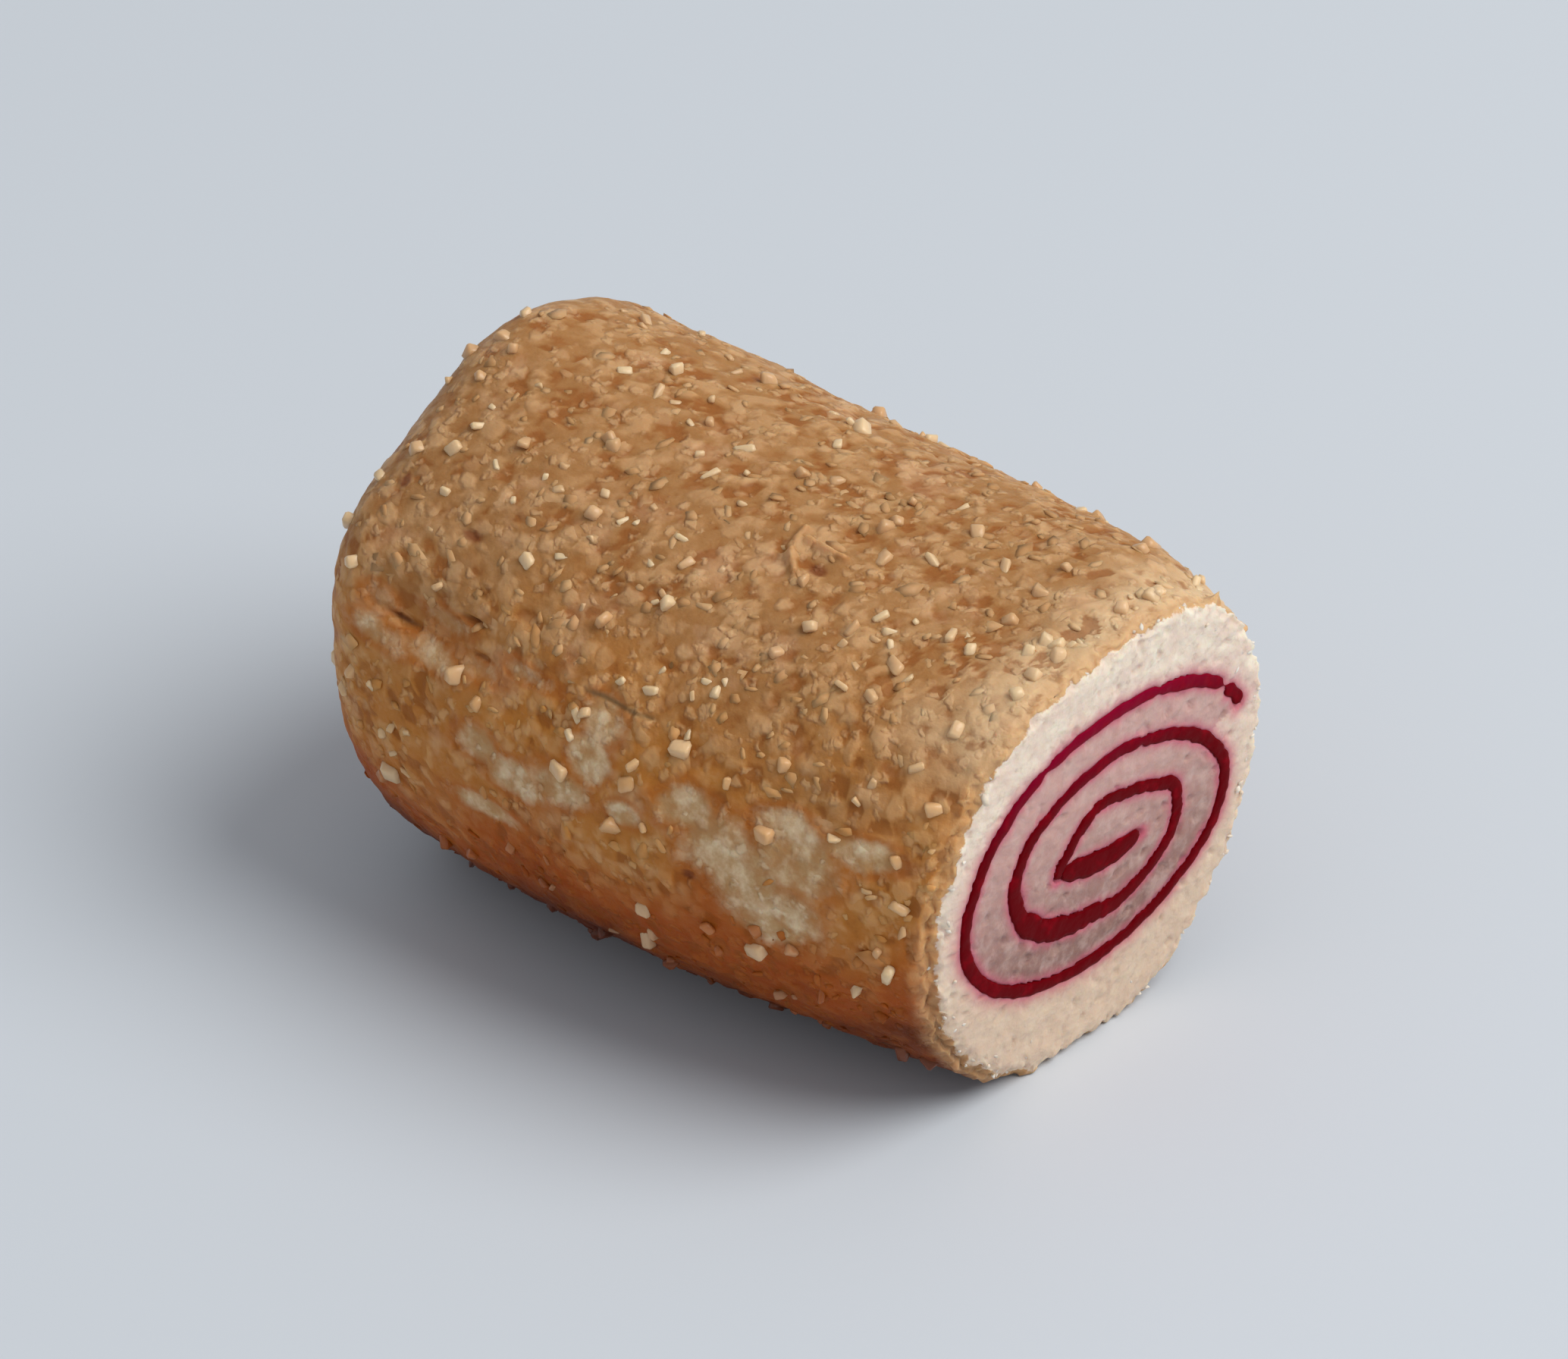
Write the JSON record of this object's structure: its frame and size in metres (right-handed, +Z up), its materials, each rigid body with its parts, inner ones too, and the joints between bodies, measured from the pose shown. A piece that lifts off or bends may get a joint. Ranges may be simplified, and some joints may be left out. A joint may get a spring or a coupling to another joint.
{
  "type": "miniature swiss roll cake",
  "caption": "Dollhouse miniature of a jam swiss roll in modelling clay: a sugared tan roll, cut at one end to show its red spiral, closed at the other, flat underneath.",
  "frame": {"origin": "on the ground, under the middle of the roll's bounding box", "axes": "+X along the roll towards its cut end, +Z up"},
  "size_m": [0.0172, 0.0125, 0.0112],
  "materials": {
    "sponge": "baked clay: a tan skin with fused sugar grains over a pinkish white inside",
    "jam": "deep crimson clay, smooth where it was cut"
  },
  "bodies": {
    "root": {"sponge": "sponge", "jam": "jam"}
  },
  "joints": []
}
